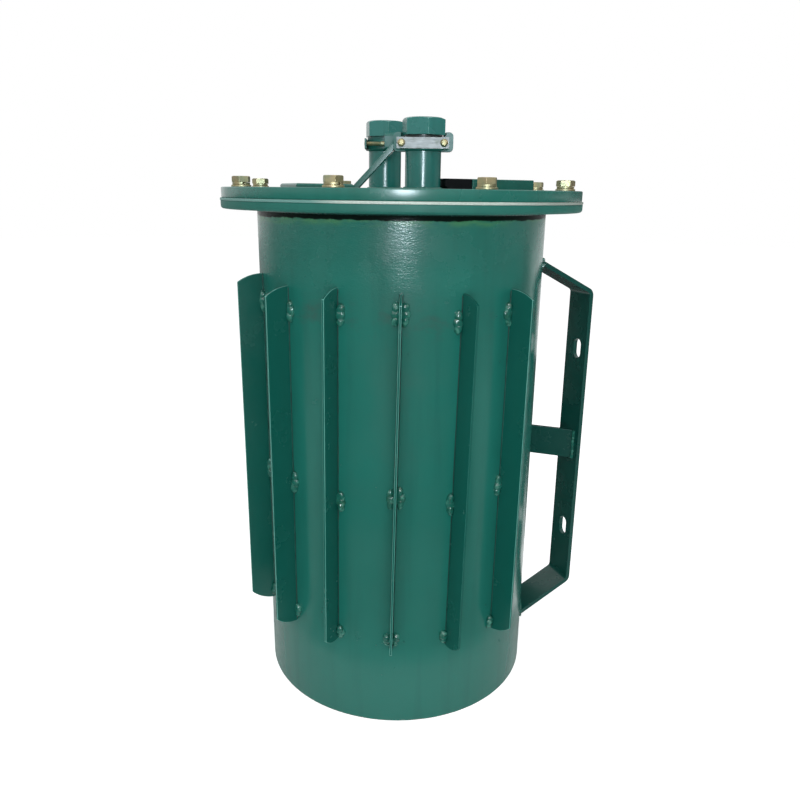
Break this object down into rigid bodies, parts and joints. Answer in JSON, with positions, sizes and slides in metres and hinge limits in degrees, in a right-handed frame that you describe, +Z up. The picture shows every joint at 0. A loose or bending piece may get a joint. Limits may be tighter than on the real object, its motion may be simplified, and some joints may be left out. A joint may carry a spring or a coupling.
{
  "type": "explosion-proof dry-type transformer",
  "caption": "Round flameproof steel tank with radial cooling fins, bolted flanged lid, hexagon-capped cable entries and slotted wall straps, standing on its flat bottom.",
  "frame": {"origin": "centre of the tank's flat underside, on the floor", "axes": "+Z up along the tank's axis, +Y towards the wall that the two slotted straps bolt to, +X to the right as seen with the wall behind"},
  "size_m": [0.4019, 0.4115, 0.6585],
  "materials": {
    "enamel": "glossy blue-green enamel",
    "strap": "glossy blue-green enamel, a little darker",
    "joint": "grey-white joint ring",
    "zinc": "zinc-plated, satin",
    "bolt_zinc": "yellow-passivated zinc, satin",
    "block": "black, satin"
  },
  "bodies": {
    "root": {"tank_wall": "enamel", "tank_bottom": "enamel", "tank_flange": "enamel", "joint_ring": "joint", "lid": "enamel", "fin_01": "enamel", "fin_02": "enamel", "fin_03": "enamel", "fin_04": "enamel", "fin_05": "enamel", "fin_06": "enamel", "fin_07": "enamel", "fin_08": "enamel", "fin_09": "enamel", "fin_10": "enamel", "fin_11": "enamel", "wall_strap_right": "strap", "wall_strap_left": "strap", "wall_strut_right": "strap", "wall_strut_left": "strap", "entry_tube_right": "enamel", "entry_tube_left": "enamel", "entry_collar_right": "enamel", "entry_collar_left": "enamel", "entry_cap_right": "enamel", "entry_cap_left": "enamel", "entry_blank_right": "zinc", "entry_blank_left": "zinc", "clamp_strip_right": "zinc", "clamp_strip_left": "enamel", "entry_stay": "enamel", "lid_bar": "enamel", "lid_block": "block", "lid_plate": "enamel"}
  },
  "joints": []
}
